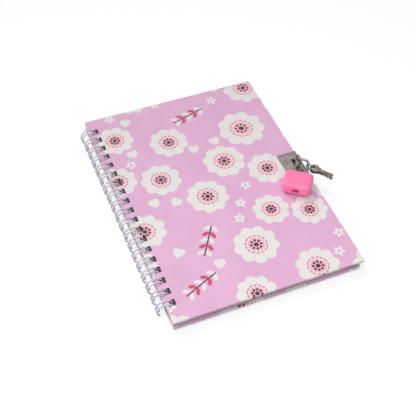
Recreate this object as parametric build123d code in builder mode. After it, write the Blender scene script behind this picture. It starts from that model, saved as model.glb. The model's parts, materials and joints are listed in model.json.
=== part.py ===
"""A pocket diary with stiff printed covers, a twin-loop wire binding, a steel hasp and a small padlock.

Millimetres, +Z up. The closed diary lies on its back cover. The spine runs along Y on the left, the
fore-edge with the hasp is on the right. The origin is under the middle of the covers, on the table.
"""

import os
from math import cos, degrees, hypot, radians, sin

from build123d import *

# Covers
cover_width = 127.0
cover_height = 178.0
cover_corner = 0.9
back_inset = 2.0
board_thickness = 1.4
wrap_thickness = 0.2
turn_in = 14.0
lining_gap = 0.1

# Pages
page_fore_margin = 10.5
page_end_margin = 3.0
page_spine_margin = 0.3
section_count = 6
section_thickness = 0.5
title_thickness = 0.25
leaf_gap = 0.04

# Wire binding
wire_end_margin = 12.0
loop_shift = 1.1
loop_pitch = 8.467
wire_diameter = 0.9
wire_sides = 5
finger_facets = 10
tip_facets = 4
corner_facets = 2
twin_spacing = 2.8
wire_clearance = 0.32
hole_bridge = 2.7
hole_spare = 0.5
axis_inset = -0.3
tip_angle = -58.0
base_angle = 238.0
base_corner = 1.1

# Hasp plates
plate_thickness = 0.6
plate_width = 13.7
plate_inner_width = 8.0
plate_height = 27.0
plate_shift = -2.5
plate_hole_diameter = 2.0
plate_hole_inset = 3.2
plate_corner = 0.5
slot_width = 2.4
slot_height = 17.2
slot_land = 0.35
slot_rise = 3.4

# Eyes
eye_inset = 2.8
eye_thickness = 0.9
eye_shift = 2.0
eye_width = 6.4
eye_band = 0.95
eye_play = 1.2
eye_shackle_gap = 0.4
eye_foot = 1.5
foot_fit = 0.05
tongue_thickness = 0.9
tongue_width = 5.0
tongue_across = -0.4
tongue_hole_gap = 0.4
tongue_side_gap = 0.35

# Padlock
lock_angle = 36.7
lock_width = 19.0
lock_length = 15.6
lock_thickness = 8.5
lock_corner = 3.0
lock_edge = 2.4
lock_rest_gap = 0.08
shackle_diameter = 1.8
shackle_sides = 16
shackle_spacing = 8.0
shackle_rise = 15.2
shackle_fit = 0.08
long_leg_depth = 12.6
short_leg_depth = 6.4
leg_end_gap = 0.2
shoulder_angle = 45.0

# Lock mechanism
plug_diameter = 4.2
plug_fit = 0.06
plug_top = 2.4
plug_end_gap = 0.2
plug_cap_gap = 0.1
pin_diameter = 0.9
pin_throw = 0.85
pin_fit = 0.07
pin_turn = 90.0
pin_end_gap = 0.2
latch_thickness = 1.5
latch_length = 4.2
latch_width = 3.0
latch_fit = 0.08
latch_lift = 0.5
latch_gap = 0.25
latch_end_gap = 0.15
notch_play = 0.15
cap_width = 9.6
cap_height = 4.6
cap_corner = 1.5
cap_thickness = 1.3
cap_fit = 0.03
keyhole_width = 5.6
keyhole_height = 3.2
keyway_width = 1.0
keyway_height = 3.2
keyway_depth = 5.0

# Keys and their ring
ring_radius = 2.3
ring_wire = 0.7
ring_sides = 8
ring_place = 16.8
ring_play = 0.25
ring_split = 8.0
key_heading = 53.1
key_thickness = 0.8
key_places = (-16.0, 20.0)
key_droops = (-2.0, 4.0)
bow_diameter = 6.4
bow_hole_diameter = 2.8
bow_rim = 0.8
bow_seat = 0.66
blade_width = 2.2
blade_length = 9.8
blade_overlap = 0.4
collar_width = 3.6
collar_length = 1.2
bit_depth = 0.7
bit_width = 1.0
bit_places = (4.6, 6.6, 8.4)

os.makedirs("parts", exist_ok=True)


def save(piece, name):
    """Label a finished piece and write it as one STEP file."""
    piece.part.label = name
    export_step(piece.part, f"parts/{name}.step")


# Heights of the stack, from the wire's own size upwards
cover_thickness = board_thickness + 2 * wrap_thickness
block_thickness = title_thickness + section_count * section_thickness + (section_count + 2) * leaf_gap
book_thickness = 2 * cover_thickness + block_thickness
loop_radius = hypot(hole_bridge - axis_inset, book_thickness / 2) + wire_clearance + wire_diameter / 2
spine = -cover_width / 2
fore_edge = cover_width / 2
axis_x = spine + axis_inset
tip_reach = twin_spacing / 2
tip_drop = loop_radius * sin(radians(tip_angle)) - tip_reach * cos(radians(tip_angle))
axis_z = wire_diameter / 2 - tip_drop
back_level = axis_z - book_thickness / 2
block_level = back_level + cover_thickness
front_level = block_level + block_thickness
front_top = front_level + cover_thickness

# Punched holes, which let the wire's circle pass through every sheet
hole_start = spine + hole_bridge
hole_end = axis_x + loop_radius + wire_diameter / 2 + wire_clearance + hole_spare
hole_width = twin_spacing + wire_diameter + 2 * wire_clearance
loop_count = int((cover_height - 2 * wire_end_margin) / loop_pitch) + 1
loop_places = [((loop_count - 1) / 2 - k) * loop_pitch + loop_shift for k in range(loop_count)]
hole_places = [((hole_start + hole_end) / 2, y) for y in loop_places]

# Hasp: the front eye stands beside a slot that the back plate's tongue comes up through
eye_x = fore_edge - eye_inset
eye_y = plate_shift + eye_shift
slot_x = eye_x - eye_thickness / 2 - slot_land - slot_width / 2
slot_y = plate_shift - (plate_height - slot_height) / 2 + slot_rise
lock_level = front_top + plate_thickness + lock_rest_gap + lock_thickness / 2
eye_foot_spacing = eye_width - eye_band

# Padlock frame: local X across the lock, local Y towards the shackle's crown, local Z up
crown_radius = shackle_spacing / 2
crown_centre = lock_length / 2 + shackle_rise - shackle_diameter / 2 - crown_radius
across = Vector(cos(radians(lock_angle)), -sin(radians(lock_angle)), 0)
along = Vector(sin(radians(lock_angle)), cos(radians(lock_angle)), 0)
shoulder_across = -crown_radius * cos(radians(shoulder_angle))
shoulder_along = crown_centre + crown_radius * sin(radians(shoulder_angle))
shoulder_y = eye_y - eye_width / 2 + eye_band + shackle_diameter / 2 + eye_shackle_gap
lock_origin = (
    Vector(eye_x, shoulder_y, lock_level) - across * shoulder_across - along * shoulder_along
)
lock_plane = Plane(origin=lock_origin, x_dir=across, z_dir=(0, 0, 1))


def lock_end(x, y):
    """A plane across the padlock at that place, facing the crown."""
    return Plane(origin=lock_plane.from_local_coords((x, y, 0)), x_dir=across, z_dir=along)


# Covers: a board, the printed paper wrapped round it, and the endpaper inside
def cover_outline(middle, width, height, corner):
    """The cover's outline with its row of punched holes, drawn in the current sketch."""
    with Locations((middle, 0)):
        RectangleRounded(width, height, corner)
    with Locations(*hole_places):
        Rectangle(hole_end - hole_start, hole_width, mode=Mode.SUBTRACT)


def cut_hasp_openings(depth):
    """The slot for the back tongue and the two pockets for the front eye's feet, in the current part."""
    with BuildSketch(Plane.XY.offset(front_top)) as slot:
        with Locations((slot_x, slot_y)):
            Rectangle(slot_width, slot_height)
    extrude(slot.sketch, amount=cover_thickness + 2 * plate_thickness, both=True, mode=Mode.SUBTRACT)
    with BuildSketch(Plane.XY.offset(front_top)) as feet:
        with Locations((eye_x, eye_y)):
            with GridLocations(0, eye_foot_spacing, 1, 2):
                Rectangle(eye_thickness + 2 * foot_fit, eye_band + 2 * foot_fit)
    extrude(feet.sketch, amount=depth, both=True, mode=Mode.SUBTRACT)


board_height = cover_height - 2 * wrap_thickness
window_height = cover_height - 2 * turn_in

for side, level, inner_level, width in (
    ("front", front_level, front_level, cover_width),
    ("back", back_level, back_level + cover_thickness - wrap_thickness, cover_width - back_inset),
):
    middle = spine + width / 2
    board_width = width - 2 * wrap_thickness
    window_width = width - 2 * turn_in
    with BuildPart() as board:
        with BuildSketch(Plane.XY.offset(level + wrap_thickness)):
            cover_outline(middle, board_width, board_height, cover_corner - wrap_thickness)
        extrude(amount=board_thickness)
        if side == "front":
            cut_hasp_openings(eye_foot)
    save(board, f"{side}_board")

    with BuildPart() as wrap:
        with BuildSketch(Plane.XY.offset(level)):
            cover_outline(middle, width, cover_height, cover_corner)
        extrude(amount=cover_thickness)
        with BuildSketch(Plane.XY.offset(level + wrap_thickness)):
            with Locations((middle, 0)):
                RectangleRounded(board_width, board_height, cover_corner - wrap_thickness)
        extrude(amount=board_thickness, mode=Mode.SUBTRACT)
        with BuildSketch(Plane.XY.offset(inner_level)):
            with Locations((middle, 0)):
                Rectangle(window_width, window_height)
        extrude(amount=wrap_thickness, mode=Mode.SUBTRACT)
        if side == "front":
            cut_hasp_openings(eye_foot)
    save(wrap, f"{side}_wrap")

    with BuildPart() as lining:
        with BuildSketch(Plane.XY.offset(inner_level)):
            with Locations((middle, 0)):
                Rectangle(window_width - 2 * lining_gap, window_height - 2 * lining_gap)
        extrude(amount=wrap_thickness)
    save(lining, f"{side}_lining")

# Pages: bundles of leaves from the back cover up, then the heavier title leaf
page_width = cover_width - page_fore_margin - page_spine_margin
page_height = cover_height - 2 * page_end_margin
page_middle = spine + page_spine_margin + page_width / 2
leaf_levels = []
level = block_level + leaf_gap
for number in range(section_count, 0, -1):
    leaf_levels.append((f"page_section_{number}", level, section_thickness))
    level += section_thickness + leaf_gap
leaf_levels.append(("title_leaf", level, title_thickness))

for name, level, thickness in leaf_levels:
    with BuildPart() as leaf:
        with BuildSketch(Plane.XY.offset(level)):
            with Locations((page_middle, 0)):
                Rectangle(page_width, page_height)
            with Locations(*hole_places):
                Rectangle(hole_end - hole_start, hole_width, mode=Mode.SUBTRACT)
        extrude(amount=thickness)
    save(leaf, name)


# Binding wire: one faceted tube that runs up and down every finger of the twin loops
def on_loop(angle, y, out=0.0):
    """A point on the loop's circle, moved along the tangent towards smaller angles by out."""
    a = radians(angle)
    x = axis_x + loop_radius * cos(a) + out * sin(a)
    z = axis_z + loop_radius * sin(a) - out * cos(a)
    return Vector(x, y, z)


def up_finger(angle):
    """The tangent of the loop's circle, towards the finger's tip."""
    return Vector(sin(radians(angle)), 0, -cos(radians(angle)))


def even_steps(first, last, count):
    """count + 1 values from first to last."""
    return [first + (last - first) * k / count for k in range(count + 1)]


finger_start = base_angle - degrees(base_corner / loop_radius)
finger_angles = even_steps(finger_start, tip_angle, finger_facets)
half_twin = twin_spacing / 2
along_spine = Vector(0, 1, 0)
stations = []
for k, y in enumerate(loop_places):
    for angle in finger_angles:
        stations.append((on_loop(angle, y + half_twin), along_spine, up_finger(angle)))
    tip = up_finger(tip_angle)
    for turn in even_steps(0, 180, tip_facets)[1:-1]:
        c, s = cos(radians(turn)), sin(radians(turn))
        centre = on_loop(tip_angle, y + half_twin * c, half_twin * s)
        stations.append((centre, along_spine * c + tip * s, tip * c - along_spine * s))
    for angle in finger_angles[::-1]:
        stations.append((on_loop(angle, y - half_twin), -along_spine, -up_finger(angle)))
    if k < loop_count - 1:
        base = up_finger(finger_start)
        here = y - half_twin - base_corner
        there = loop_places[k + 1] + half_twin + base_corner
        for turn in even_steps(0, 90, corner_facets)[1:]:
            c, s = cos(radians(turn)), sin(radians(turn))
            centre = on_loop(finger_start, here + base_corner * c, -base_corner * s)
            stations.append((centre, base * s - along_spine * c, -base * c - along_spine * s))
        for turn in even_steps(0, 90, corner_facets)[:-1]:
            c, s = cos(radians(turn)), sin(radians(turn))
            centre = on_loop(finger_start, there - base_corner * s, -base_corner * c)
            stations.append((centre, base * c + along_spine * s, base * s - along_spine * c))

with BuildPart() as binding_wire:
    for centre, sideways, ahead in stations:
        with BuildSketch(Plane(origin=centre, x_dir=sideways, z_dir=ahead)):
            RegularPolygon(wire_diameter / 2, wire_sides)
    loft(ruled=True, clean=False)
save(binding_wire, "binding_wire")

# The wire's least gap to itself: the finger's tip to the base run, and one finger to the next
tip_end = on_loop(tip_angle, 0, half_twin)
base_run = on_loop(finger_start, 0, -base_corner)
tip_gap = (tip_end - base_run).length - wire_diameter
twin_gap = twin_spacing - wire_diameter
finger_gap = loop_pitch - twin_spacing - wire_diameter
print("least gap of the wire to itself", round(min(tip_gap, twin_gap, finger_gap), 2))

# Front hasp plate: a sheet folded round the cover's fore-edge, slotted for the back tongue
def folded_plate(level, edge, inner_side):
    """A U-shaped sheet round a cover's edge; inner_side is -1 or 1 for the side with the short leaf."""
    middle = level + cover_thickness / 2
    leaf = cover_thickness / 2 + plate_thickness / 2
    with BuildSketch(Plane.XZ.offset(-plate_shift)) as fold:
        with Locations((edge + plate_thickness / 2, middle)):
            Rectangle(plate_thickness, cover_thickness + 2 * plate_thickness)
        with Locations((edge - plate_width / 2, middle - inner_side * leaf)):
            Rectangle(plate_width, plate_thickness)
        with Locations((edge - plate_inner_width / 2, middle + inner_side * leaf)):
            Rectangle(plate_inner_width, plate_thickness)
        fillet(fold.vertices().group_by(Axis.X)[-1], plate_thickness * 0.9)
    extrude(fold.sketch, amount=plate_height / 2, both=True)
    outer = level if inner_side > 0 else level + cover_thickness
    with BuildSketch(Plane.XY.offset(outer)) as holes:
        with Locations((edge - plate_width + plate_hole_inset, plate_shift)):
            with GridLocations(0, plate_height - 2 * plate_hole_inset, 1, 2):
                Circle(plate_hole_diameter / 2)
    extrude(holes.sketch, amount=-inner_side * plate_thickness, mode=Mode.SUBTRACT)


with BuildPart() as front_hasp_plate:
    folded_plate(front_level, fore_edge, -1)
    leaf_ends = front_hasp_plate.edges().filter_by(Axis.Z).group_by(Axis.X)[0]
    fillet(leaf_ends, plate_corner)
    cut_hasp_openings(eye_foot)
save(front_hasp_plate, "front_hasp_plate")

# Front eye: a bent strip with an arched top, its feet through the plate and into the board
eye_top = lock_level + shackle_diameter / 2 + eye_play + eye_band
eye_arch = eye_width / 2
with BuildPart() as front_eye:
    with BuildSketch(Plane(origin=(eye_x, eye_y, 0), x_dir=(0, 1, 0), z_dir=(1, 0, 0))):
        with BuildLine():
            foot = front_top - eye_foot + foot_fit
            Polyline(
                (-eye_arch, eye_top - eye_arch),
                (-eye_arch, foot),
                (-eye_arch + eye_band, foot),
                (-eye_arch + eye_band, eye_top - eye_arch),
            )
            ThreePointArc(
                (-eye_arch + eye_band, eye_top - eye_arch),
                (0, eye_top - eye_band),
                (eye_arch - eye_band, eye_top - eye_arch),
            )
            Polyline(
                (eye_arch - eye_band, eye_top - eye_arch),
                (eye_arch - eye_band, foot),
                (eye_arch, foot),
                (eye_arch, eye_top - eye_arch),
            )
            ThreePointArc((-eye_arch, eye_top - eye_arch), (0, eye_top), (eye_arch, eye_top - eye_arch))
        make_face()
    extrude(amount=eye_thickness / 2, both=True)
save(front_eye, "front_eye")

# Back hasp plate: the same fold on the back cover, with a pierced tongue bent up from its inner leaf
tongue_x = slot_x - slot_width / 2 + tongue_side_gap + tongue_thickness / 2
tongue_along = (tongue_x - lock_origin.X - tongue_across * across.X) / along.X
tongue_y = lock_origin.Y + tongue_across * across.Y + tongue_along * along.Y
tongue_hole = shackle_diameter / 2 + tongue_hole_gap
tongue_base = back_level + cover_thickness
with BuildPart() as back_hasp_plate:
    folded_plate(back_level, fore_edge - back_inset, 1)
    leaf_ends = back_hasp_plate.edges().filter_by(Axis.Z).group_by(Axis.X)[0]
    fillet(leaf_ends, plate_corner)
    with BuildSketch(Plane(origin=(tongue_x, tongue_y, 0), x_dir=(0, 1, 0), z_dir=(1, 0, 0))):
        with Locations((0, (tongue_base + lock_level) / 2)):
            Rectangle(tongue_width, lock_level - tongue_base)
        with Locations((0, lock_level)):
            Circle(tongue_width / 2)
            Circle(tongue_hole, mode=Mode.SUBTRACT)
    extrude(amount=tongue_thickness / 2, both=True)
save(back_hasp_plate, "back_hasp_plate")

# Shackle: a round bar bent to a bow, with a long leg, a short leg and the latch's notch
half_spacing = shackle_spacing / 2
lock_top = lock_length / 2
lock_foot = -lock_length / 2
latch_level = plug_top + latch_lift
notch_start = latch_level - notch_play
latch_travel = 2 * pin_throw * sin(radians(pin_turn / 2))
latch_reach = half_spacing - shackle_diameter / 2 - latch_gap
notch_depth = latch_reach + latch_travel + notch_play
with BuildPart() as shackle:
    with BuildLine(lock_plane) as bow:
        Line((-half_spacing, lock_top - long_leg_depth), (-half_spacing, crown_centre))
        ThreePointArc(
            (-half_spacing, crown_centre), (0, crown_centre + half_spacing), (half_spacing, crown_centre)
        )
        Line((half_spacing, crown_centre), (half_spacing, lock_top - short_leg_depth))
    with BuildSketch(lock_end(-half_spacing, lock_top - long_leg_depth)):
        RegularPolygon(shackle_diameter / 2, shackle_sides)
    sweep(path=bow.wire())
    with BuildSketch(lock_end(notch_depth - shackle_diameter, notch_start)):
        Rectangle(2 * shackle_diameter, 2 * shackle_diameter)
    extrude(amount=latch_thickness + 2 * notch_play, mode=Mode.SUBTRACT)
save(shackle, "shackle")

# Padlock case: a rounded block bored for the legs, the plug and the latch, with a seat for its cap
with BuildPart() as padlock_case:
    with BuildSketch(lock_plane):
        RectangleRounded(lock_width, lock_length, lock_corner)
    extrude(amount=lock_thickness / 2, both=True)
    rims = padlock_case.faces().filter_by(Axis.Z).edges()
    fillet(rims, lock_edge)
    for leg_x, depth in ((-half_spacing, long_leg_depth), (half_spacing, short_leg_depth)):
        with BuildSketch(lock_end(leg_x, lock_top)):
            Circle(shackle_diameter / 2 + shackle_fit)
        extrude(amount=-depth - leg_end_gap, mode=Mode.SUBTRACT)
    with BuildSketch(lock_end(0, lock_foot)):
        RectangleRounded(cap_width, cap_height, cap_corner)
    extrude(amount=cap_thickness, mode=Mode.SUBTRACT)
    with BuildSketch(lock_end(0, lock_foot)):
        Circle(plug_diameter / 2 + plug_fit)
    extrude(amount=plug_top - lock_foot + plug_end_gap, mode=Mode.SUBTRACT)
    latch_room = latch_travel + latch_length + 2 * latch_end_gap
    with BuildSketch(lock_end(latch_reach - latch_length - latch_end_gap + latch_room / 2, plug_top)):
        Rectangle(latch_room, latch_width + 2 * latch_fit)
    extrude(amount=latch_level - plug_top + latch_thickness + latch_fit, mode=Mode.SUBTRACT)
save(padlock_case, "padlock_case")

# Padlock cap: the pressed-in bottom end with the oval key opening
with BuildPart() as padlock_cap:
    with BuildSketch(lock_end(0, lock_foot)):
        RectangleRounded(cap_width - 2 * cap_fit, cap_height - 2 * cap_fit, cap_corner - cap_fit)
        SlotOverall(keyhole_width, keyhole_height, mode=Mode.SUBTRACT)
    extrude(amount=cap_thickness - cap_fit)
save(padlock_cap, "padlock_cap")

# Key plug: a turning barrel with a keyway below and a crank pin above
pin_x = -pin_throw * sin(radians(pin_turn / 2))
pin_up = pin_throw * cos(radians(pin_turn / 2))
plug_foot = lock_foot + cap_thickness + plug_cap_gap
with BuildPart() as key_plug:
    with BuildSketch(lock_end(0, plug_foot)):
        Circle(plug_diameter / 2)
    extrude(amount=plug_top - plug_foot)
    with BuildSketch(lock_end(0, plug_foot)):
        Rectangle(keyway_width, keyway_height)
    extrude(amount=keyway_depth, mode=Mode.SUBTRACT)
    with BuildSketch(lock_end(0, plug_top)):
        with Locations((pin_x, -pin_up)):
            Circle(pin_diameter / 2)
    extrude(amount=latch_level - plug_top + latch_thickness - pin_end_gap)
save(key_plug, "key_plug")

# Latch: a small plate that the crank pin slides into the short leg's notch
pin_slot = pin_throw - pin_up + pin_diameter + 2 * pin_fit
with BuildPart() as latch:
    with BuildSketch(lock_end(latch_reach - latch_length / 2, latch_level)):
        Rectangle(latch_length, latch_width)
        with Locations((pin_x - latch_reach + latch_length / 2, -(pin_up + pin_throw) / 2)):
            Rectangle(pin_diameter + 2 * pin_fit, pin_slot, mode=Mode.SUBTRACT)
    extrude(amount=latch_thickness)
save(latch, "latch")

# Key ring: a small split ring of wire round the shackle's short leg
heading = Vector(cos(radians(key_heading)), -sin(radians(key_heading)), 0)
ring_normal = Vector(sin(radians(key_heading)), cos(radians(key_heading)), 0)
leg_point = lock_plane.from_local_coords((half_spacing, ring_place, 0))
ring_offset = ring_radius - ring_wire / 2 - shackle_diameter / 2 - ring_play
ring_centre = Vector(*leg_point) + heading * ring_offset
with BuildPart() as key_ring:
    with BuildSketch(Plane(origin=ring_centre, x_dir=-heading, z_dir=(0, 0, 1))):
        with Locations((ring_radius, 0)):
            RegularPolygon(ring_wire / 2, ring_sides)
    revolve(axis=Axis(ring_centre, ring_normal), revolution_arc=360 - ring_split)
save(key_ring, "key_ring")

# Keys: flat stampings with a round bow, a collar and a blade with cut bits
bow_centre = bow_diameter / 2 - bow_rim - bow_hole_diameter / 2
for number, (place, droop) in enumerate(zip(key_places, key_droops), 1):
    seat = heading * cos(radians(place)) - Vector(0, 0, 1) * sin(radians(place))
    forward = heading * cos(radians(droop)) - Vector(0, 0, 1) * sin(radians(droop))
    face_up = heading * sin(radians(droop)) + Vector(0, 0, 1) * cos(radians(droop))
    hole_centre = ring_centre + seat * ring_radius + forward * bow_seat
    key_plane = Plane(origin=hole_centre, x_dir=forward, z_dir=face_up)
    blade_start = bow_centre + bow_diameter / 2 - blade_overlap
    with BuildPart() as key:
        with BuildSketch(key_plane):
            with Locations((bow_centre, 0)):
                Circle(bow_diameter / 2)
            with Locations((blade_start + collar_length / 2, 0)):
                Rectangle(collar_length, collar_width)
            with Locations((blade_start + blade_length / 2, 0)):
                SlotOverall(blade_length + blade_width, blade_width)
            with Locations(*[(blade_start + bit, -blade_width / 2) for bit in bit_places]):
                Rectangle(bit_width, 2 * bit_depth, mode=Mode.SUBTRACT)
            Circle(bow_hole_diameter / 2, mode=Mode.SUBTRACT)
        extrude(amount=key_thickness / 2, both=True)
    save(key, f"key_{number}")
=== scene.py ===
import json

import bpy
import numpy as np
from mathutils import Matrix, Vector


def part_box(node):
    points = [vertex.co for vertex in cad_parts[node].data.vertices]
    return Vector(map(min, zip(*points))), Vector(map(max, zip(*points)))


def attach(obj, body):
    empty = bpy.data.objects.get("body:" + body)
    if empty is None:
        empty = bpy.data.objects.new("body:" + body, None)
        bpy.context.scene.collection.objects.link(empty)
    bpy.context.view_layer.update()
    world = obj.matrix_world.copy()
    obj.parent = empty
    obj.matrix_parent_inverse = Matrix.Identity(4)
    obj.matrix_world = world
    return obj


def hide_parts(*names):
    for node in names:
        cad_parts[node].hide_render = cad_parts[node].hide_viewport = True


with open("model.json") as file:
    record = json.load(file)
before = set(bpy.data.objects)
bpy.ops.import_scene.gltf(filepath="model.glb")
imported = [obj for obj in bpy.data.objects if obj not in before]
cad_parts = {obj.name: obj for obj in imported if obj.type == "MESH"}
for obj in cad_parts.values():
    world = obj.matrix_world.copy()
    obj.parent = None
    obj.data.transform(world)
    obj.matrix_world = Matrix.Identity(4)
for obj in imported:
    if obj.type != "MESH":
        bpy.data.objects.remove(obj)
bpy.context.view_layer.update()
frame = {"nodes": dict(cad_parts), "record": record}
nodes = frame["nodes"]

# Printed cover paper. A thin sheet with a satin film is glued round each board and turned in behind it.
# It is printed all over with white daisies, leafy sprigs, small blossoms and hearts on lilac pink.
# The film is a little scuffed along the folded edges, where the paper's white core shows.


class Tone:
    """A value on a surface: one socket in a material's tree, whose operators add Math nodes."""

    def __init__(self, tree, socket=None):
        self.tree = tree
        self.socket = socket

    def node(self, kind, settings=None, sockets=None, out=0):
        """A new node: its settings first, then the values or links of its sockets."""
        new = self.tree.nodes.new("ShaderNode" + kind)
        for name, value in (settings or {}).items():
            if name == "stops":
                for _ in value[2:]:
                    new.color_ramp.elements.new(0.5)
                for stop, (place, colour) in zip(new.color_ramp.elements, value):
                    stop.position, stop.color = place, colour
            else:
                setattr(new, name, value)
        for name, value in (sockets or {}).items():
            if isinstance(value, Tone):
                self.tree.links.new(value.socket, new.inputs[name])
            else:
                new.inputs[name].default_value = value
        return Tone(self.tree, new.outputs[out])

    def maths(self, operation, *values):
        return self.node("Math", {"operation": operation}, dict(enumerate(values)))

    def __add__(self, other):
        return self.maths("ADD", self, other)

    __radd__ = __add__

    def __sub__(self, other):
        return self.maths("SUBTRACT", self, other)

    def __rsub__(self, other):
        return self.maths("SUBTRACT", other, self)

    def __mul__(self, other):
        return self.maths("MULTIPLY", self, other)

    __rmul__ = __mul__

    def __truediv__(self, other):
        return self.maths("DIVIDE", self, other)

    def __pow__(self, other):
        return self.maths("POWER", self, other)

    def __lt__(self, other):
        return self.maths("LESS_THAN", self, other)

    def __gt__(self, other):
        return self.maths("GREATER_THAN", self, other)

    def __abs__(self):
        return self.maths("ABSOLUTE", self)

    def least(self, other):
        return self.maths("MINIMUM", self, other)

    def most(self, other):
        return self.maths("MAXIMUM", self, other)

    def cosine(self):
        return self.maths("COSINE", self)

    def sine(self):
        return self.maths("SINE", self)

    def fall(self, start, end, high=1.0, low=0.0):
        """high up to start, easing to low at end."""
        places = {0: self, 1: start, 2: end, 3: high, 4: low}
        return self.node("MapRange", {"interpolation_type": "SMOOTHSTEP"}, places)

    def xyz(self):
        """The three parts of a vector or colour."""
        parts = self.node("SeparateXYZ", {}, {0: self}).socket.node.outputs
        return [Tone(self.tree, part) for part in parts]

    def times(self, factor):
        """This vector, longer by a factor."""
        return self.node("VectorMath", {"operation": "SCALE"}, {0: self, 3: factor})

    def mapped(self, shift=(0.0, 0.0, 0.0), turn=0.0, stretch=(1.0, 1.0, 1.0)):
        """This place stretched, then turned about Z, then shifted."""
        return self.node("Mapping", {}, {0: self, 1: shift, 2: (0.0, 0.0, turn), 3: stretch})

    def noise(self, scale, detail, roughness=0.5, distortion=0.0):
        """Smooth chance values from 0 to 1 over this place, with about scale waves to its unit."""
        waves = {"Vector": self, "Scale": scale, "Detail": detail}
        return self.node("TexNoise", {}, {**waves, "Roughness": roughness, "Distortion": distortion})

    def paint(self, colour, mask):
        """This colour with another laid over it where mask is 1."""
        return self.node("Mix", {"data_type": "RGBA"}, {0: mask, 6: self, 7: colour}, out=2)

    def between(self, start, end, first, second):
        """The first colour up to start, easing to the second at end."""
        mask = self.fall(start, end, 0.0, 1.0)
        return self.node("Mix", {"data_type": "RGBA"}, {0: mask, 6: first, 7: second}, out=2)


def ink(red, green, blue):
    """A colour written 0 to 255 as on screen, made linear."""
    c = np.array([red, green, blue]) / 255.0
    c = np.where(c <= 0.04045, c / 12.92, ((c + 0.055) / 1.055) ** 2.4)
    return (*c.tolist(), 1.0)


def new_finish(name):
    """A material, its Principled shader, and places on the piece: Object coordinates, in metres."""
    finish = bpy.data.materials.new(name)
    finish.use_nodes = True
    shader = finish.node_tree.nodes["Principled BSDF"]
    return finish, shader, Tone(finish.node_tree).node("TexCoord", out="Object")


def feed(shader, socket, tone):
    """Lead a tone into one of a shader's sockets."""
    tone.tree.links.new(tone.socket, shader.inputs[socket])


def emboss(shader, height, strength, depth):
    """Raise the surface by a height from 0 to 1, through a Bump node of this depth in metres."""
    bump = height.node("Bump", {}, {"Strength": strength, "Distance": depth, "Height": height})
    feed(shader, "Normal", bump)


def dress(finish, *names):
    """Put a finish on CAD pieces, in all their slots."""
    for name in names:
        for place in nodes[name].material_slots:
            place.material = finish


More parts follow.
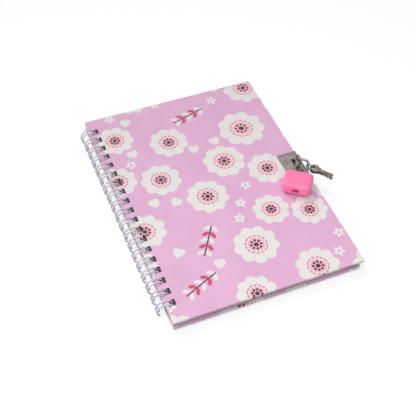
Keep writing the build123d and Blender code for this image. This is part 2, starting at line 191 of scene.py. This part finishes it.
def print_paper(name, node, turn, drift):
    """Printed paper, in millimetres: daisies, sprigs, blossoms and hearts, each drawn from the distance
    and angle about its own scattered point on a plane that is turned by turn and moved by drift."""
    finish, shader, metres = new_finish(name)
    place = metres.times(1000.0)
    x, y, z = place.xyz()
    plane = place.node("CombineXYZ", {}, {0: x, 1: y}).mapped((drift, 2.0 * drift, 0.0), turn)
    white, salmon = ink(230, 226, 224), ink(240, 176, 196)
    rose, dark = ink(206, 72, 104), ink(44, 34, 42)

    def cells(where, size, loose, feature="F1", out=0):
        """Scattered points about size apart: the distance to the nearest, or another of its values."""
        places = {"Vector": where, "Scale": 1.0 / size, "Randomness": loose}
        return where.node("TexVoronoi", {"voronoi_dimensions": "2D", "feature": feature}, places, out)

    def from_centre(where, size, loose):
        """Distance and angle about the nearest point, the point itself, and three chance values for it."""
        centre = cells(where, size, loose, out="Position")
        across, up, _ = where.node("VectorMath", {"operation": "SUBTRACT"}, {0: where, 1: centre}).xyz()
        reach = (across * across + up * up) ** 0.5
        angle = up.maths("ARCTAN2", up, across)
        return reach, angle, centre, cells(where, size, loose, out="Color").xyz()

    # Daisies: scalloped white petals and a dashed rose ring round a salmon disc, which has a dark button
    # in a circle of dark seeds. The shares are of the daisy's half size.
    cell, loose, daisies_among_motifs = 35.0, 0.42, 0.82
    least_half, spread, room_used = 13.0, 5.0, 0.98
    petal_count, dash_count, seed_count = 9, 14, 8
    petal_share, ring_share, disc_share, seed_share, button_share = 0.84, 0.46, 0.37, 0.22, 0.11
    most_turn, seed_shift, blur = 6.0, 12.0, 0.12
    reach, angle, _, draws = from_centre(plane, cell, loose)

    def half_size(where):
        """Half the size of the motif nearest to a place: by chance, but within the room round it."""
        room = cells(where, cell, loose, "N_SPHERE_RADIUS", "Radius") * cell
        chance = cells(where, cell, loose, out="Color").xyz()[0]
        return (least_half + spread * chance).least(room * room_used)

    size = half_size(plane)
    around = angle + most_turn * draws[1]
    is_sprig = draws[2] > daisies_among_motifs
    is_daisy = 1.0 - is_sprig
    scallop = abs((around * (petal_count / 2)).cosine())
    petals = is_daisy * (reach - size * (petal_share + (1.0 - petal_share) * scallop)).fall(-blur, blur)
    part = reach / size
    creases = (scallop * reach).fall(0.35, 0.75) * part.fall(0.42, 0.5, 0.0, 1.0) * part.fall(0.7, 0.8)
    disc = is_daisy * (reach - size * disc_share).fall(-blur, blur)
    dashes = abs((around * (dash_count / 2)).sine()).fall(0.3, 0.45, 0.0, 1.0)
    rose_ring = abs(reach - size * ring_share).fall(0.32, 0.55) * dashes
    button = (reach - size * button_share).fall(-blur, blur)
    seed_turn = around.maths("PINGPONG", around + seed_shift, np.pi / seed_count)
    seeds = ((reach - size * seed_share) ** 2.0 + (seed_turn * reach) ** 2.0).fall(0.6, 1.0)

    # Sprigs: a dark stem with three pairs of slanted leaves, or five where there is room for them,
    # white and rose by turns
    step, leaf_out, leaf_half_length, leaf_half_width, long_half = 5.0, 2.5, 3.8, 1.9, 12.0
    stem_way = reach * around.cosine()
    stem_side = abs(reach * around.sine())
    half_stem = step * (1.5 + (size > long_half))
    in_pair = stem_way.maths("WRAP", stem_way, step / 2, -step / 2)
    pair_side = stem_side - leaf_out
    leaf_length = (in_pair + pair_side) / leaf_half_length
    leaf_width = (in_pair - pair_side) / leaf_half_width
    leaf = (leaf_length * leaf_length + leaf_width * leaf_width).fall(0.85, 1.1)
    on_stem = is_sprig * (abs(stem_way) < half_stem)
    leaves = on_stem * leaf
    rose_leaves = leaves * (((stem_way - in_pair) * np.pi / step).cosine() < 0.0)
    stem = on_stem * stem_side.fall(0.36, 0.52)

    # Between them, where a mark has room: white hearts, and blossoms of five petals with an open eye
    mark_cell, mark_loose, mark_room, mark_lean = 13.0, 0.6, 4.3, 1.6
    heart_half, heart_lift, hearts_among_marks = 3.3, 0.15, 0.45
    blossom_half, blossom_swell, blossom_petals, blossom_eye = 3.1, 0.9, 5.0, 0.9
    mark_reach, mark_angle, mark_centre, mark_draws = from_centre(plane, mark_cell, mark_loose)
    clear = cells(mark_centre, cell, loose) * cell - half_size(mark_centre) > mark_room
    roomy = cells(plane, mark_cell, mark_loose, "N_SPHERE_RADIUS", "Radius") * mark_cell > mark_room
    bent = mark_angle + (mark_draws[1] - 0.5) * mark_lean
    u = mark_reach * bent.cosine() / heart_half
    v = mark_reach * bent.sine() / heart_half + heart_lift
    bulge = u * u + v * v - 1.0
    heart = (bulge * bulge * bulge - u * u * v * v * v).fall(-0.06, 0.06)
    blossom_edge = blossom_half + blossom_swell * (bent * blossom_petals).cosine()
    blossom = (mark_reach - blossom_edge).fall(-0.1, 0.12)
    blossom = blossom * (mark_reach - blossom_eye).fall(-0.1, 0.1, 0.0, 1.0)
    is_heart = mark_draws[0] < hearts_among_marks
    marks = clear * roomy * (heart * is_heart + blossom * (1.0 - is_heart))

    # The layers of ink, with a slight mottle where the press laid it unevenly
    mottle = place.noise(0.05, 3.0)
    colour = mottle.between(0.35, 0.65, ink(227, 178, 212), ink(223, 172, 207))
    colour = colour.paint(white, petals)
    colour = colour.paint(salmon, creases * petals * 0.8)
    colour = colour.paint(rose, rose_ring * petals * 0.85)
    colour = colour.paint(salmon, disc)
    colour = colour.paint(dark, (seeds + button) * disc)
    colour = colour.paint(white, leaves)
    colour = colour.paint(rose, rose_leaves)
    colour = colour.paint(dark, stem)
    colour = colour.paint(white, marks)

    # Scuffs along the folded edges, where the sheet's rim and its outer faces meet
    low, high = (np.array(corner) * 1000.0 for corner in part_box(node))
    middle, half = (low + high) / 2.0, (high - low) / 2.0
    rim = (half[0] - abs(x - middle[0])).least(half[1] - abs(y - middle[1]))
    face = half[2] - abs(z - middle[2])
    scratch = place.noise(1.7, 5.0, 0.65)
    scuff = (rim + face + scratch).fall(0.45, 0.8) * 0.55
    feed(shader, "Base Color", colour.paint(white, scuff))
    grain = place.noise(2.2, 4.0, 0.6)
    feed(shader, "Roughness", 0.36 + 0.1 * grain + 0.25 * scuff)
    emboss(shader, grain, 0.12, 0.0001)
    shader.inputs["Coat Weight"].default_value = 0.12
    shader.inputs["Coat Roughness"].default_value = 0.3
    return finish


dress(print_paper("cover_print_front", "front_wrap", 0.6, 77.0), "front_wrap")
dress(print_paper("cover_print_back", "back_wrap", -0.4, 23.0), "back_wrap")

# Cover boards. Pressed grey board, hidden but for the walls of the punched holes and the hasp slot.
# It is a felt of short fibres, with lighter and darker flecks from the waste paper that it is made from.
grey_board, shader, place = new_finish("grey_board")
fibres = place.noise(900.0, 6.0, 0.7)
plies = place.mapped(stretch=(200.0, 200.0, 6000.0)).noise(1.0, 2.0)
fleck_stops = [(0.25, ink(44, 41, 42)), (0.55, ink(70, 66, 65)), (0.8, ink(100, 94, 91))]
flecks = place.node("ValToRGB", {"stops": fleck_stops}, {0: fibres * 0.6 + plies * 0.4})
feed(shader, "Base Color", flecks)
feed(shader, "Roughness", 0.8 + 0.15 * fibres)
emboss(shader, fibres, 0.4, 0.0002)
dress(grey_board, "front_board", "back_board")

# Endpapers. A pale pink sheet is pasted inside each cover, over the turned-in edges of the print.
# It carries a faint all-over spot and the slight cockle that paste leaves in thin paper.
endpaper, shader, metres = new_finish("endpaper")
place = metres.times(1000.0)
x, y, _ = place.xyz()
spot_gap = 4.0
spot_x = x.maths("PINGPONG", x, spot_gap) - spot_gap / 2
spot_y = y.maths("PINGPONG", y, spot_gap) - spot_gap / 2
spots = ((spot_x * spot_x + spot_y * spot_y) ** 0.5).fall(0.6, 0.75)
cockle = place.noise(0.04, 3.0)
pale = cockle.between(0.3, 0.7, ink(240, 216, 229), ink(246, 226, 236))
feed(shader, "Base Color", pale.paint(ink(226, 170, 200), spots * 0.8))
feed(shader, "Roughness", 0.62 + 0.15 * cockle)
emboss(shader, cockle, 0.3, 0.0004)
dress(endpaper, "front_lining", "back_lining")

# Pages. Bundles of thin uncoated leaves, punched and trimmed together, behind one heavier title leaf.
# The faces are ruled in pale lilac with a pink margin line, and the leaves show as fine lines on the
# trimmed edges. The edges' colour is also darkened to a mauve grey: painted shade and a painted pink
# reflection.
page_paper, shader, metres = new_finish("ruled_paper")
place = metres.times(1000.0)
x, y, _ = place.xyz()
facing = abs(place.node("NewGeometry", out="Normal").xyz()[2])
on_face = facing.fall(0.4, 0.6, 0.0, 1.0)
line_gap, line_shift, ruled_half, margin_x = 7.0, 200.0, 74.0, -48.0
rule = y.maths("PINGPONG", y + line_shift, line_gap / 2).fall(0.1, 0.2)
rule = rule * abs(y).fall(ruled_half, ruled_half + 0.2)
margin = abs(x - margin_x).fall(0.1, 0.2)
tooth = place.noise(3.0, 4.0, 0.6)
leaves = place.mapped(stretch=(0.04, 0.04, 9.0)).noise(1.0, 3.0, 0.7)
sheet = tooth.between(0.3, 0.7, ink(240, 237, 240), ink(233, 230, 234))
# Edge colour: fine leaf lines, darkened and tinted mauve as painted shade and a painted pink reflection
edge_lines_painted_shade_stops = [(0.3, ink(138, 127, 135)), (0.5, ink(184, 173, 182)), (0.7, ink(215, 206, 214))]
edge = place.node("ValToRGB", {"stops": edge_lines_painted_shade_stops}, {0: leaves})
ruled = sheet.paint(ink(196, 178, 214), rule * 0.8).paint(ink(232, 150, 178), margin * 0.8)
feed(shader, "Base Color", edge.paint(ruled, on_face))
feed(shader, "Roughness", 0.75 + 0.15 * tooth)
emboss(shader, tooth * on_face * 0.3 + leaves * (1.0 - on_face), 0.35, 0.0002)
dress(page_paper, "title_leaf", *[f"page_section_{k}" for k in range(1, 7)])

# Page ends. The leaves are trimmed a millimetre short of the covers at head and foot, so their cut ends
# show as a grey band under the front cover's edge, grey from the painted shade in the edge colour.
# Each bundle is carried on from its solid to that line.
trim_gap = 0.001
covers_low, covers_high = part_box("front_wrap")
leaf_carriers = {leaf: leaf for leaf in ("title_leaf", "page_section_1", "page_section_2", "page_section_3")}
leaf_carriers.update({f"page_section_{k}": "back" for k in (4, 5, 6)})
unit_box = np.indices((2, 2, 2)).reshape(3, -1).T
box_sides = np.array([[0, 1, 3, 2], [4, 6, 7, 5], [0, 4, 5, 1], [2, 3, 7, 6], [0, 2, 6, 4], [1, 5, 7, 3]])


def new_piece(name, points, faces):
    """A new object in the scene, whose mesh has these points and faces."""
    mesh = bpy.data.meshes.new(name)
    mesh.from_pydata(points.tolist(), [], faces)
    piece = bpy.data.objects.new(name, mesh)
    bpy.context.scene.collection.objects.link(piece)
    return piece


def page_ends(node):
    """Two flat bars as wide and thick as the bundle: a unit box stretched between each of its ends
    and the trim line there."""
    low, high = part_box(node)
    foot, head = covers_low[1] + trim_gap, covers_high[1] - trim_gap
    starts = np.array([[low[0], foot, low[2]], [low[0], high[1], low[2]]])[:, None]
    ends = np.array([[high[0], low[1], high[2]], [high[0], head, high[2]]])[:, None]
    points = (starts + unit_box * (ends - starts)).reshape(-1, 3)
    faces = np.concatenate([box_sides, box_sides + len(unit_box)])
    return new_piece(f"{node}_ends", points, faces.tolist())


for node, body in leaf_carriers.items():
    bars = page_ends(node)
    bars.data.materials.append(page_paper)
    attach(bars, body)

# Binding wire. One length of steel wire in a silvery nylon coat, bent into double fingers, fed through the
# punched holes and pressed shut into loops, with the closed side lying under the back cover. Sizes are in
# millimetres and degrees. The coat goes inwards, so the loops keep the outer line of their solid.
steel_radius, coat, solid_loop_radius = 0.45, 0.1, 5.4447
wire_radius, loop_radius = steel_radius + coat, solid_loop_radius - coat
twin, pitch, loops = 2.8, 8.467, 19
tip_angle, base_angle, base_corner = -58.0, 238.0, 1.1
arc_steps, tip_steps, corner_steps = 44, 12, 6
hinges = {joint["name"]: joint for joint in frame["record"]["behaviour"]["joints"]}
axis_x, _, axis_z = (1000.0 * place for place in hinges["cover_open"]["pos_m"])
wire_low, wire_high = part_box("binding_wire")
wire_middle = 1000.0 * (wire_low[1] + wire_high[1]) / 2
finger_start = base_angle - np.degrees(base_corner / loop_radius)
along = np.array([0.0, 1.0, 0.0])


def on_loop(angle, y, out):
    """Points on the loop's circle at these angles, pushed by out along its tangent to smaller angles."""
    a = np.radians(angle)
    x = axis_x + loop_radius * np.cos(a) + out * np.sin(a)
    z = axis_z + loop_radius * np.sin(a) - out * np.cos(a)
    return np.stack(np.broadcast_arrays(x, y, z), -1)


def tangent(angle):
    """The circle's direction at these angles, towards smaller ones."""
    a = np.radians(angle)
    return np.stack([np.sin(a), 0.0 * a, -np.cos(a)], -1)


def finger_and_link():
    """Centres, side vectors and forward vectors of one double finger and the run to the next, as arrays:
    an arc to the tip, a half turn, an arc back, a quarter turn, a straight run and a quarter turn."""
    arc = np.linspace(finger_start, tip_angle, arc_steps + 1)
    half = np.linspace(0.0, np.pi, tip_steps + 1)[1:-1, None]
    quarter = np.linspace(0.0, np.pi / 2, corner_steps + 1)[:, None]
    c, s = np.cos(half), np.sin(half)
    c1, s1 = np.cos(quarter[1:]), np.sin(quarter[1:])
    c2, s2 = np.cos(quarter[:-1]), np.sin(quarter[:-1])
    leaving = -twin / 2 - base_corner
    joining = twin / 2 - pitch + base_corner
    centres = [
        on_loop(arc, twin / 2, 0.0),
        on_loop(tip_angle, twin / 2 * c[:, 0], twin / 2 * s[:, 0]),
        on_loop(arc[::-1], -twin / 2, 0.0),
        on_loop(finger_start, leaving + base_corner * c1[:, 0], -base_corner * s1[:, 0]),
        on_loop(finger_start, joining - base_corner * s2[:, 0], -base_corner * c2[:, 0]),
    ]
    flat = np.tile(along, (len(arc), 1))
    tip, base = tangent(tip_angle), tangent(finger_start)
    sides = [flat, along * c + tip * s, -flat, base * s1 - along * c1, base * c2 + along * s2]
    aheads = [
        tangent(arc),
        tip * c - along * s,
        -tangent(arc[::-1]),
        -base * c1 - along * s1,
        base * s2 - along * c2,
    ]
    return np.concatenate(centres), np.concatenate(sides), np.concatenate(aheads)


def tube_piece(name, centres, sides, aheads, radius, around=12):
    """A tube with closed ends: at each station a circle of this radius, in the plane of the side vector
    and its cross with the forward vector. Everything is in millimetres."""
    ups = np.cross(aheads, sides)
    ring = np.linspace(0.0, 2.0 * np.pi, around, endpoint=False)[:, None]
    spokes = np.cos(ring) * sides[:, None] + np.sin(ring) * ups[:, None]
    points = (centres[:, None] + radius * spokes).reshape(-1, 3) / 1000.0
    i, j = np.meshgrid(np.arange(len(centres) - 1), np.arange(around), indexing="ij")
    k = (j + 1) % around
    here, ahead = i * around, (i + 1) * around
    quads = np.stack([here + j, here + k, ahead + k, ahead + j], -1).reshape(-1, 4)
    first_end = np.arange(around)[::-1]
    last_end = np.arange(around) + (len(centres) - 1) * around
    faces = [*quads.tolist(), first_end.tolist(), last_end.tolist()]
    piece = new_piece(name, points, faces)
    piece.data.polygons.foreach_set("use_smooth", np.ones(len(faces), bool))
    piece.data.update()
    return piece


finger, finger_sides, finger_aheads = finger_and_link()
last_link = 2 * corner_steps
starts = ((loops - 1) / 2 - np.arange(loops)) * pitch + wire_middle
centres = (finger + starts[:, None, None] * along).reshape(-1, 3)[:-last_link]
sides = np.tile(finger_sides, (loops, 1))[:-last_link]
aheads = np.tile(finger_aheads, (loops, 1))[:-last_link]
loops_wire = tube_piece("twin_loop_wire", centres, sides, aheads, wire_radius)
coated_wire, shader, place = new_finish("coated_wire")
draw = place.noise(1400.0, 4.0, 0.6)
dull = place.noise(260.0, 3.0)
feed(shader, "Base Color", dull.between(0.35, 0.7, ink(200, 199, 208), ink(222, 221, 230)))
feed(shader, "Roughness", 0.3 + 0.16 * draw)
emboss(shader, draw, 0.12, 0.00005)
loops_wire.data.materials.append(coated_wire)
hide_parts("binding_wire")
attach(loops_wire, "back")

# Hasp. Two nickel-plated sheet plates are folded over the covers' fore-edges: the front one carries a bent
# eye, the back one a pierced tongue that comes up through a slot. The plating is satin, with fine lines
# from rolling.
plated_steel, shader, place = new_finish("plated_steel")
lines = place.mapped(stretch=(3000.0, 60.0, 400.0)).noise(1.0, 5.0, 0.65)
bloom = place.noise(180.0, 4.0)
feed(shader, "Base Color", bloom.between(0.3, 0.75, ink(133, 124, 121), ink(158, 148, 144)))
feed(shader, "Roughness", 0.34 + 0.2 * lines + 0.1 * bloom)
emboss(shader, lines, 0.15, 0.0001)
shader.inputs["Metallic"].default_value = 0.85
dress(plated_steel, "front_hasp_plate", "front_eye", "back_hasp_plate")

# Padlock body. Moulded pink plastic with soft edges, and a pressed-in end with an oval key opening.
# The moulding is glossy, with a slight orange-peel surface and faint flow marks in the pigment.
pink_plastic, shader, place = new_finish("pink_plastic")
flow = place.noise(120.0, 3.0, distortion=0.6)
peel = place.noise(1600.0, 2.0)
feed(shader, "Base Color", flow.between(0.3, 0.7, ink(253, 122, 174), ink(255, 130, 181)))
feed(shader, "Roughness", 0.34 + 0.08 * peel)
emboss(shader, peel, 0.1, 0.0001)
shader.inputs["Coat Weight"].default_value = 0.15
shader.inputs["Coat Roughness"].default_value = 0.25
dress(pink_plastic, "padlock_case", "padlock_cap")

# Lock barrel. A small moulded plug that the key turns, in the body's plastic, coloured a deeper, redder pink
# as painted shade for the key opening's recess, where its slotted face sits. The key has rubbed it a little
# dull.
plug_plastic_painted_shade, shader, place = new_finish("plug_plastic_painted_shade")
rubbed = place.noise(700.0, 4.0)
# The two deep reds are painted shade for the recess of the key opening
feed(shader, "Base Color", rubbed.between(0.3, 0.7, ink(196, 40, 92), ink(212, 56, 108)))
feed(shader, "Roughness", 0.4 + 0.2 * rubbed)
emboss(shader, rubbed, 0.1, 0.0001)
dress(plug_plastic_painted_shade, "key_plug")

# Shackle, latch and key ring. Plain plated steel, bent from bar and wire, and for the latch cut from
# plate. It is polished, with a slight haze from handling.
polished_steel, shader, place = new_finish("polished_steel")
haze = place.noise(420.0, 4.0)
fine = place.noise(2400.0, 2.0)
feed(shader, "Base Color", haze.between(0.35, 0.7, ink(118, 113, 110), ink(164, 159, 155)))
feed(shader, "Roughness", 0.18 + 0.14 * haze)
emboss(shader, fine, 0.06, 0.00005)
shader.inputs["Metallic"].default_value = 1.0
dress(polished_steel, "shackle", "latch", "key_ring")

# Keys. Two flat keys stamped from plated steel, hung on the ring by the holes in their bows.
# Their faces are dull, with fine scratches from use.
stamped_steel, shader, place = new_finish("stamped_steel")
scratches = place.mapped(turn=0.9, stretch=(3000.0, 120.0, 300.0)).noise(1.0, 4.0, 0.7)
haze = place.noise(350.0, 4.0)
feed(shader, "Base Color", haze.between(0.3, 0.7, ink(116, 111, 108), ink(150, 145, 141)))
feed(shader, "Roughness", 0.3 + 0.22 * scratches)
emboss(shader, scratches, 0.2, 0.0001)
shader.inputs["Metallic"].default_value = 0.9
dress(stamped_steel, "key_1", "key_2")

# Studio. A plain white floor and backdrop, lit by a large soft lamp high behind the head of the diary, a
# little to the left, by a small one over the foot, and by one low on the left that lights the spine and
# the lock's end.
floor_half, floor_grey, floor_glow, world_fill = 3.0, 0.5, 0.6, 0.25
white_light = (1.0, 1.0, 1.0, 1.0)
corners = floor_half * np.array([[-1.0, -1.0, 0.0], [1.0, -1.0, 0.0], [1.0, 1.0, 0.0], [-1.0, 1.0, 0.0]])
floor = new_piece("floor", corners, [[0, 1, 2, 3]])


def seen_white(tree):
    """1 for rays from the camera, mirrors and glass, else 0."""
    rays = Tone(tree).node("LightPath").socket.node.outputs
    seen = Tone(tree, rays["Is Camera Ray"]).most(Tone(tree, rays["Is Glossy Ray"]))
    return seen.most(Tone(tree, rays["Is Transmission Ray"]))


white_floor = bpy.data.materials.new("white_floor")
white_floor.use_nodes = True
tree = white_floor.node_tree
tree.nodes.remove(tree.nodes["Principled BSDF"])
seen = seen_white(tree)
matt = seen.node("BsdfDiffuse", {}, {"Color": (floor_grey, floor_grey, floor_grey, 1.0)})
glow = seen.node("Emission", {}, {"Color": white_light, "Strength": seen * floor_glow})
both = seen.node("AddShader", {}, {0: matt, 1: glow})
feed(tree.nodes["Material Output"], "Surface", both)
floor.data.materials.append(white_floor)

world = bpy.data.worlds.new("studio")
bpy.context.scene.world = world
world.use_nodes = True
background = world.node_tree.nodes["Background"]
background.inputs["Color"].default_value = white_light
feed(background, "Strength", world_fill + (1.0 - world_fill) * seen_white(world.node_tree))


def soft_lamp(name, place, size, power):
    """A square lamp at place, turned to the diary's middle."""
    lamp = bpy.data.lights.new(name, "AREA")
    lamp.shape, lamp.size, lamp.energy = "SQUARE", size, power
    holder = bpy.data.objects.new(name, lamp)
    bpy.context.scene.collection.objects.link(holder)
    holder.location = place
    holder.rotation_euler = (-Vector(place)).to_track_quat("-Z", "Y").to_euler()
    return holder


soft_lamp("key_lamp", (-1.1, 2.4, 3.3), 1.4, 71.0)
soft_lamp("front_lamp", (-0.02, -0.17, 0.36), 0.3, 0.74)
# The low lamp shows in no gloss, or it would flare on the cover seen from the right
left_lamp = soft_lamp("left_lamp", (-1.6, -0.2, 0.25), 0.5, 9.0)
left_lamp.visible_glossy = False

# Camera, at the photograph's view: from the foot of the diary, a little to the left, looking down.
# The target is a point on the front cover, and reach is the camera's distance from it in metres.
focal_pixels, frame_pixels, sensor_width = 825.29, 416.0, 36.0
turn, lift, roll, reach = -24.16, 49.97, 2.53, 0.53615
target = Vector((-0.01166, -0.01507, 0.009394))
az, el, tip = np.radians([turn, lift, roll])
back = Vector((np.sin(az) * np.cos(el), -np.cos(az) * np.cos(el), np.sin(el)))
level = Vector((np.cos(az), np.sin(az), 0.0))
rise = back.cross(level)
right = level * np.cos(tip) + rise * np.sin(tip)
up = rise * np.cos(tip) - level * np.sin(tip)
camera_data = bpy.data.cameras.new("camera")
camera_data.sensor_width = sensor_width
camera_data.lens = focal_pixels / frame_pixels * sensor_width
camera = bpy.data.objects.new("camera", camera_data)
bpy.context.scene.collection.objects.link(camera)
stand = Matrix((right, up, back)).transposed().to_4x4()
stand.translation = target + back * reach
camera.matrix_world = stand
bpy.context.scene.camera = camera
bpy.context.scene.view_settings.view_transform = "Standard"
